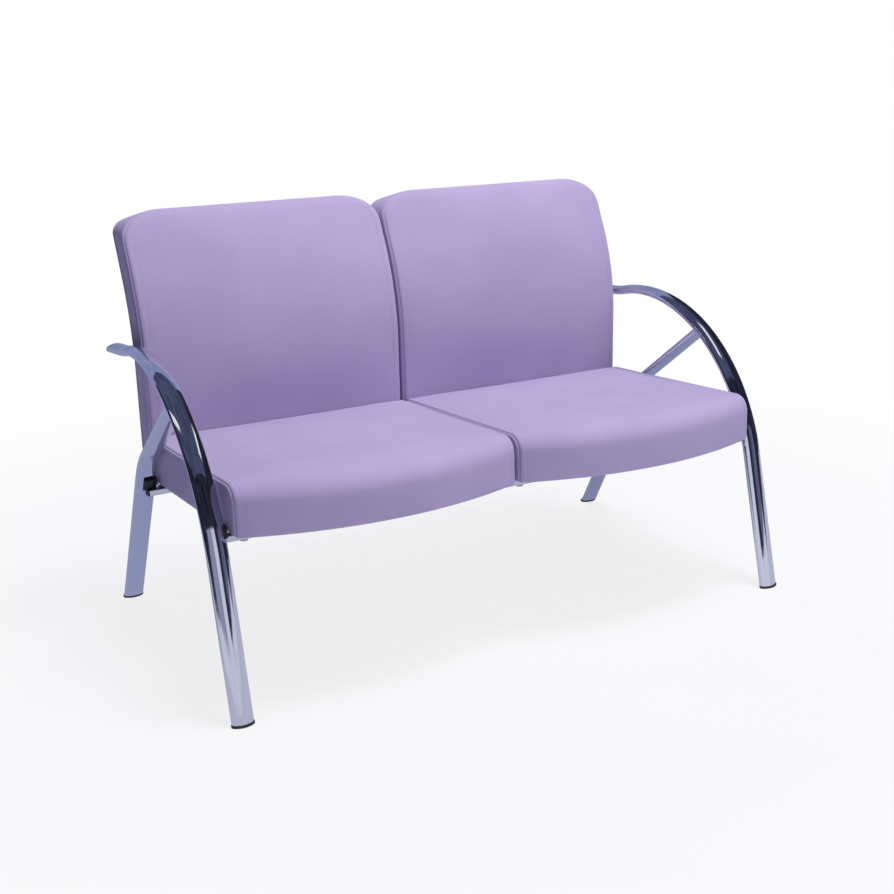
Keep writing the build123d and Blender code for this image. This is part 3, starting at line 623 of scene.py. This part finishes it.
# Soft pieces at their units
def place_cover(name, cover, unit, material, node):
    """A soft piece at its unit, smoothed, that stands for a CAD solid, which is hidden."""
    points, faces = cover[:2]
    piece = new_piece(name, points + (unit, 0.0, 0.0), faces, material)
    smoothing = piece.modifiers.new("smoothing", "SUBSURF")
    smoothing.levels = SMOOTHING_LEVELS
    smoothing.render_levels = SMOOTHING_LEVELS
    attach(piece, "root")
    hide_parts(node)


def place_stitching(name, cover, unit, material):
    """The rows of stitches of a cover at its unit."""
    points, _, normals, rows = cover
    lines = [(points[row] + (unit, 0.0, 0.0), normals[row]) for row in rows]
    piece = stitching(name, lines, material)
    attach(piece, "root")


# Finishes
def new_finish(name, roughness, metallic=0.0):
    """A material and its shader, with the values that are the same all over the surface."""
    material = bpy.data.materials.new(name)
    material.use_nodes = True
    shader = material.node_tree.nodes["Principled BSDF"]
    shader.inputs["Roughness"].default_value = roughness
    shader.inputs["Metallic"].default_value = metallic
    return material, shader


def speckle(material, scale, detail, stretch=(1.0, 1.0, 1.0)):
    """Noise on Object coordinates, which are stretched along the axes."""
    tree = material.node_tree
    place = tree.nodes.new("ShaderNodeTexCoord")
    mapping = tree.nodes.new("ShaderNodeMapping")
    mapping.inputs["Scale"].default_value = stretch
    noise = tree.nodes.new("ShaderNodeTexNoise")
    noise.inputs["Scale"].default_value = scale
    noise.inputs["Detail"].default_value = detail
    tree.links.new(place.outputs["Object"], mapping.inputs["Vector"])
    tree.links.new(mapping.outputs["Vector"], noise.inputs["Vector"])
    return noise.outputs["Fac"]


def pebbles(material, scale):
    """Rounded cells on Object coordinates, as in an embossed grain."""
    tree = material.node_tree
    place = tree.nodes.new("ShaderNodeTexCoord")
    cells = tree.nodes.new("ShaderNodeTexVoronoi")
    cells.feature = "SMOOTH_F1"
    cells.inputs["Scale"].default_value = scale
    tree.links.new(place.outputs["Object"], cells.inputs["Vector"])
    return cells.outputs["Distance"]


def tint(material, shader, value, low_colour, high_colour, socket="Base Color"):
    """Colour of a shader socket that runs from one colour to another over the middle range of a noise."""
    tree = material.node_tree
    ramp = tree.nodes.new("ShaderNodeValToRGB")
    ramp.color_ramp.elements[0].position = NOISE_LOW
    ramp.color_ramp.elements[0].color = (*low_colour, 1.0)
    ramp.color_ramp.elements[1].position = NOISE_HIGH
    ramp.color_ramp.elements[1].color = (*high_colour, 1.0)
    tree.links.new(value, ramp.inputs["Fac"])
    tree.links.new(ramp.outputs["Color"], shader.inputs[socket])


def uneven_gloss(material, shader, value, low, high):
    """Roughness that runs between two values over the middle range of a noise."""
    tree = material.node_tree
    spread = tree.nodes.new("ShaderNodeMapRange")
    spread.inputs["From Min"].default_value = NOISE_LOW
    spread.inputs["From Max"].default_value = NOISE_HIGH
    spread.inputs["To Min"].default_value = low
    spread.inputs["To Max"].default_value = high
    tree.links.new(value, spread.inputs["Value"])
    tree.links.new(spread.outputs["Result"], shader.inputs["Roughness"])


def relief(material, shader, value, strength, distance):
    """Fine relief from a value."""
    tree = material.node_tree
    bump = tree.nodes.new("ShaderNodeBump")
    bump.inputs["Strength"].default_value = strength
    bump.inputs["Distance"].default_value = distance
    tree.links.new(value, bump.inputs["Height"])
    tree.links.new(bump.outputs["Normal"], shader.inputs["Normal"])


def lilac_leathercloth():
    """Soft satin leathercloth with a fine pebbled grain and slow changes of tone."""
    material, shader = new_finish("lilac_leathercloth", roughness=0.55)
    tone = speckle(material, scale=7.0, detail=3.0)
    tint(material, shader, tone, low_colour=(0.440, 0.364, 0.572), high_colour=(0.465, 0.389, 0.596))
    gloss = speckle(material, scale=22.0, detail=2.0)
    uneven_gloss(material, shader, gloss, low=0.50, high=0.60)
    relief(material, shader, pebbles(material, scale=620.0), strength=0.22, distance=0.0004)
    shader.inputs["Sheen Weight"].default_value = 0.10
    shader.inputs["Sheen Roughness"].default_value = 0.4
    return material


def lilac_thread():
    """Sewing thread a little darker than the cover, with a fine change of tone."""
    material, shader = new_finish("lilac_thread", roughness=0.6)
    tone = speckle(material, scale=900.0, detail=1.0)
    tint(material, shader, tone, low_colour=(0.33, 0.25, 0.48), high_colour=(0.41, 0.32, 0.57))
    return material


def chrome(name, colour):
    """Polished chrome plate with a very slight haze."""
    material, shader = new_finish(name, roughness=0.05, metallic=1.0)
    paler = tuple(min(1.0, CHROME_PALER * part) for part in colour)
    tone = speckle(material, scale=5.0, detail=2.0)
    tint(material, shader, tone, low_colour=colour, high_colour=paler)
    gloss = speckle(material, scale=30.0, detail=3.0)
    uneven_gloss(material, shader, gloss, low=0.04, high=0.09)
    return material


def black_plastic():
    """Moulded black plastic with a fine spark-eroded texture."""
    material, shader = new_finish("black_plastic", roughness=0.5)
    tone = speckle(material, scale=60.0, detail=3.0)
    tint(material, shader, tone, low_colour=(0.012, 0.012, 0.014), high_colour=(0.022, 0.022, 0.025))
    grain = speckle(material, scale=1800.0, detail=1.0)
    relief(material, shader, grain, strength=0.15, distance=0.0002)
    return material


def rubber():
    """Matt black rubber."""
    material, shader = new_finish("pad_rubber", roughness=0.85)
    tone = speckle(material, scale=200.0, detail=2.0)
    tint(material, shader, tone, low_colour=(0.018, 0.018, 0.018), high_colour=(0.035, 0.034, 0.033))
    return material


def plywood():
    """Raw plywood with a long grain."""
    material, shader = new_finish("raw_plywood", roughness=0.65)
    tone = speckle(material, scale=14.0, detail=5.0, stretch=(1.0, 14.0, 30.0))
    tint(material, shader, tone, low_colour=(0.40, 0.25, 0.12), high_colour=(0.62, 0.44, 0.25))
    return material


def dust_cloth():
    """Black non-woven cloth with matted fibres."""
    material, shader = new_finish("dust_cloth", roughness=0.9)
    tone = speckle(material, scale=500.0, detail=4.0)
    tint(material, shader, tone, low_colour=(0.012, 0.012, 0.013), high_colour=(0.040, 0.040, 0.042))
    fibres = speckle(material, scale=900.0, detail=3.0)
    relief(material, shader, fibres, strength=0.3, distance=0.0004)
    return material


def zinc_steel():
    """Zinc plated steel with a faint cloudy passivation."""
    material, shader = new_finish("zinc_steel", roughness=0.3, metallic=1.0)
    tone = speckle(material, scale=90.0, detail=3.0)
    tint(material, shader, tone, low_colour=(0.50, 0.50, 0.50), high_colour=(0.66, 0.65, 0.62))
    gloss = speckle(material, scale=140.0, detail=2.0)
    uneven_gloss(material, shader, gloss, low=0.24, high=0.38)
    return material


# Studio
def seen_directly(tree):
    """One for rays that come from the camera, a mirror or a clear body, and zero for light that spreads."""
    path = tree.nodes.new("ShaderNodeLightPath")
    total = path.outputs["Is Camera Ray"]
    for name in ("Is Glossy Ray", "Is Transmission Ray"):
        either = tree.nodes.new("ShaderNodeMath")
        either.operation = "MAXIMUM"
        tree.links.new(total, either.inputs[0])
        tree.links.new(path.outputs[name], either.inputs[1])
        total = either.outputs["Value"]
    return total


def white_world():
    """White background, with a weaker even fill on the object."""
    world = bpy.data.worlds.new("studio")
    world.use_nodes = True
    bpy.context.scene.world = world
    tree = world.node_tree
    background = tree.nodes["Background"]
    background.inputs["Strength"].default_value = 1.0
    choice = tree.nodes.new("ShaderNodeValToRGB")
    choice.color_ramp.elements[0].color = (*FILL_COLOUR, 1.0)
    choice.color_ramp.elements[1].color = (*WHITE, 1.0)
    tree.links.new(seen_directly(tree), choice.inputs["Fac"])
    tree.links.new(choice.outputs["Color"], background.inputs["Color"])


def floor_finish():
    """Pale matt finish that takes the soft shadow near the object and fades to white further out."""
    material, shader = new_finish("pale_floor", roughness=0.9)
    tone = speckle(material, scale=3.0, detail=2.0)
    tint(material, shader, tone, low_colour=(0.66, 0.66, 0.72), high_colour=(0.68, 0.68, 0.74))
    tree = material.node_tree
    place = tree.nodes.new("ShaderNodeTexCoord")
    distance = tree.nodes.new("ShaderNodeVectorMath")
    distance.operation = "LENGTH"
    fade = tree.nodes.new("ShaderNodeMapRange")
    fade.inputs["From Min"].default_value = FLOOR_FADE_START
    fade.inputs["From Max"].default_value = FLOOR_FADE_END
    fade.inputs["To Min"].default_value = FLOOR_WHITE_SHARE
    fade.inputs["To Max"].default_value = 1.0
    share = tree.nodes.new("ShaderNodeMath")
    share.operation = "MULTIPLY"
    white = tree.nodes.new("ShaderNodeEmission")
    white.inputs["Color"].default_value = (*WHITE, 1.0)
    white.inputs["Strength"].default_value = 1.0
    mix = tree.nodes.new("ShaderNodeMixShader")
    tree.links.new(place.outputs["Object"], distance.inputs[0])
    tree.links.new(distance.outputs["Value"], fade.inputs["Value"])
    tree.links.new(fade.outputs["Result"], share.inputs[0])
    tree.links.new(seen_directly(tree), share.inputs[1])
    tree.links.new(share.outputs["Value"], mix.inputs["Fac"])
    tree.links.new(shader.outputs["BSDF"], mix.inputs[1])
    tree.links.new(white.outputs["Emission"], mix.inputs[2])
    tree.links.new(mix.outputs["Shader"], tree.nodes["Material Output"].inputs["Surface"])
    return material


def pale_floor():
    """Square floor round the object."""
    shares = ((-1.0, -1.0), (1.0, -1.0), (1.0, 1.0), (-1.0, 1.0))
    corners = np.array([(x * FLOOR_HALF, y * FLOOR_HALF, 0.0) for x, y in shares])
    new_piece("floor", corners, [(0, 1, 2, 3)], floor_finish())


def soft_lamp(name, at, width, height, power):
    """Rectangular soft lamp that faces the object and leaves no streak of its own in polished metal."""
    lamp = bpy.data.lights.new(name, "AREA")
    lamp.shape = "RECTANGLE"
    lamp.size = width
    lamp.size_y = height
    lamp.energy = power
    holder = bpy.data.objects.new(name, lamp)
    facing = (Vector(LAMP_TARGET) - Vector(at)).to_track_quat("-Z", "Y")
    holder.matrix_world = Matrix.Translation(at) @ facing.to_matrix().to_4x4()
    holder.visible_glossy = False
    bpy.context.scene.collection.objects.link(holder)


def card_finish(name, low_colour, high_colour):
    """Self-lit card with a slow change of tone."""
    material, shader = new_finish(name, roughness=1.0)
    shader.inputs["Base Color"].default_value = (*BLACK, 1.0)
    shader.inputs["Specular IOR Level"].default_value = 0.0
    shader.inputs["Emission Strength"].default_value = 1.0
    tone = speckle(material, scale=0.7, detail=1.0)
    tint(material, shader, tone, low_colour, high_colour, "Emission Color")
    material.cycles.emission_sampling = "NONE"
    return material


def studio_card(name, at, direction, width, height, material, roll):
    """Card that shows only as a tone in polished metal and gives no light of its own."""
    facing = Vector(direction).to_track_quat("-Z", "Y") @ Quaternion((0.0, 0.0, 1.0), radians(roll))
    shares = ((-0.5, -0.5), (0.5, -0.5), (0.5, 0.5), (-0.5, 0.5))
    corners = [Vector(at) + facing @ Vector((x * width, y * height, 0.0)) for x, y in shares]
    card = new_piece(name, np.array([tuple(corner) for corner in corners]), [(0, 1, 2, 3)], material)
    card.visible_camera = False
    card.visible_diffuse = False
    card.visible_shadow = False


def camera_axes():
    """Right, up and backward directions of a camera that turns, drops and rolls."""
    ahead = cos(CAMERA_DROP)
    forward = Vector((sin(CAMERA_TURN) * ahead, cos(CAMERA_TURN) * ahead, -sin(CAMERA_DROP)))
    level = Vector((cos(CAMERA_TURN), -sin(CAMERA_TURN), 0.0))
    over = level.cross(forward)
    right = level * cos(CAMERA_ROLL) + over * sin(CAMERA_ROLL)
    up = over * cos(CAMERA_ROLL) - level * sin(CAMERA_ROLL)
    return right, up, -forward


# Finishes of the CAD pieces
leathercloth = lilac_leathercloth()
thread = lilac_thread()
FINISHES = {
    "chrome_tube": chrome("chrome_tube", (0.72, 0.73, 0.78)),
    "chrome_bar": chrome("chrome_bar", (0.66, 0.67, 0.71)),
    "black_plastic": black_plastic(),
    "rubber_pad": rubber(),
    "plywood": plywood(),
    "dust_cloth": dust_cloth(),
    "upholstery": leathercloth,
    "fixing_steel": zinc_steel(),
}
for subpart in frame["record"]["subparts"]:
    for slot in frame["nodes"][subpart["node"]].material_slots:
        slot.material = FINISHES[subpart["material_slot"]]

# Soft pieces of both units
seat = seat_cover()
back = back_cover()
panel = back_shell(PANEL_FAR, PANEL_EDGE_ROUND, BACK_REAR_CORNER, PANEL_NEAR, BACK_REAR_CORNER, PANEL_CROWN)
for side, unit in UNITS.items():
    place_cover("seat_upholstery_" + side, seat, unit, leathercloth, "seat_cushion_" + side)
    place_cover("back_upholstery_" + side, back, unit, leathercloth, "back_cushion_" + side)
    place_cover("back_panel_" + side, panel, unit, leathercloth, "back_cover_" + side)
    place_stitching("seat_stitching_" + side, seat, unit, thread)
    place_stitching("back_stitching_" + side, back, unit, thread)

# Background, floor, lamps and cards
white_world()
pale_floor()
for name, (at, width, height, power) in LAMPS.items():
    soft_lamp(name, at, width, height, power)
card_finishes = {tone: card_finish("card_" + tone, *colours) for tone, colours in TONES.items()}
for name, (at, direction, width, height, tone, roll) in CARDS.items():
    studio_card(name, at, direction, width, height, card_finishes[tone], roll)

# Camera and view
lens = bpy.data.cameras.new("camera")
lens.sensor_width = SENSOR
lens.lens = CAMERA_FOCUS_PIXELS / IMAGE_PIXELS * SENSOR
camera = bpy.data.objects.new("camera", lens)
camera.matrix_world = Matrix.Translation(CAMERA_AT) @ Matrix(camera_axes()).transposed().to_4x4()
bpy.context.scene.collection.objects.link(camera)
bpy.context.scene.camera = camera
bpy.context.scene.view_settings.view_transform = "Standard"
